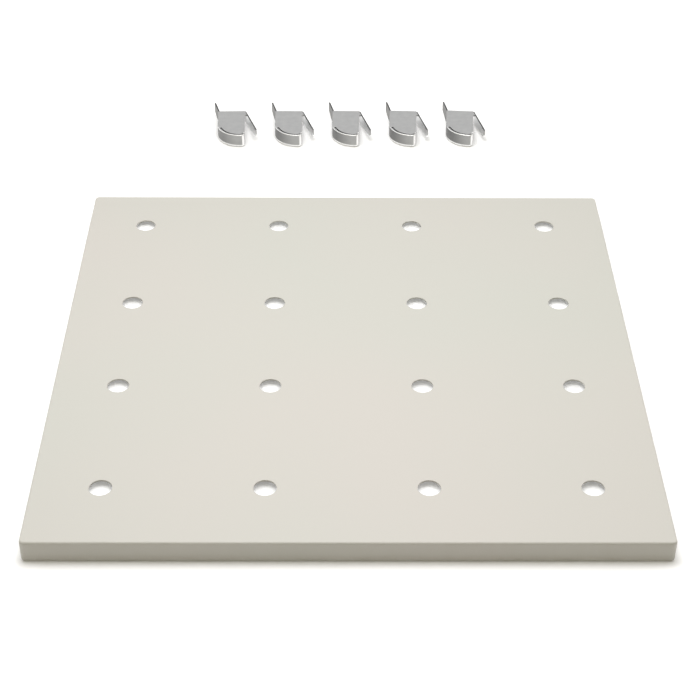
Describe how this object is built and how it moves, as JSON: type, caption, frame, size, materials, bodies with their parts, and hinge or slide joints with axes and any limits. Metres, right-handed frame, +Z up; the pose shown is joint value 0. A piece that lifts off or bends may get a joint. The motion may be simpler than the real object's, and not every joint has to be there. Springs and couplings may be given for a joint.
{
  "type": "perforated sheet metal peg panel with spring clips",
  "caption": "Square folded sheet-steel peg panel with a grid of round holes, and five loose spring clips.",
  "frame": {"origin": "centre of the panel's top face", "axes": "+Z up out of the top face, +Y towards the row of clips, +X to the right"},
  "size_m": [0.333, 0.4723, 0.013],
  "materials": {
    "panel_paint": "satin powder coat, warm light grey",
    "clip_steel": "bright spring steel, lightly polished"
  },
  "bodies": {
    "panel": {"perforated_panel": "panel_paint"},
    "clip_1": {"spring_clip_1": "clip_steel"},
    "clip_2": {"spring_clip_2": "clip_steel"},
    "clip_3": {"spring_clip_3": "clip_steel"},
    "clip_4": {"spring_clip_4": "clip_steel"},
    "clip_5": {"spring_clip_5": "clip_steel"}
  },
  "joints": [
    {"name": "clip_1_lift", "type": "slide", "parent": "panel", "child": "clip_1", "axis": [0, 0, 1], "range_m": [0, 0.04]},
    {"name": "clip_2_lift", "type": "slide", "parent": "panel", "child": "clip_2", "axis": [0, 0, 1], "range_m": [0, 0.04]},
    {"name": "clip_3_lift", "type": "slide", "parent": "panel", "child": "clip_3", "axis": [0, 0, 1], "range_m": [0, 0.04]},
    {"name": "clip_4_lift", "type": "slide", "parent": "panel", "child": "clip_4", "axis": [0, 0, 1], "range_m": [0, 0.04]},
    {"name": "clip_5_lift", "type": "slide", "parent": "panel", "child": "clip_5", "axis": [0, 0, 1], "range_m": [0, 0.04]}
  ]
}
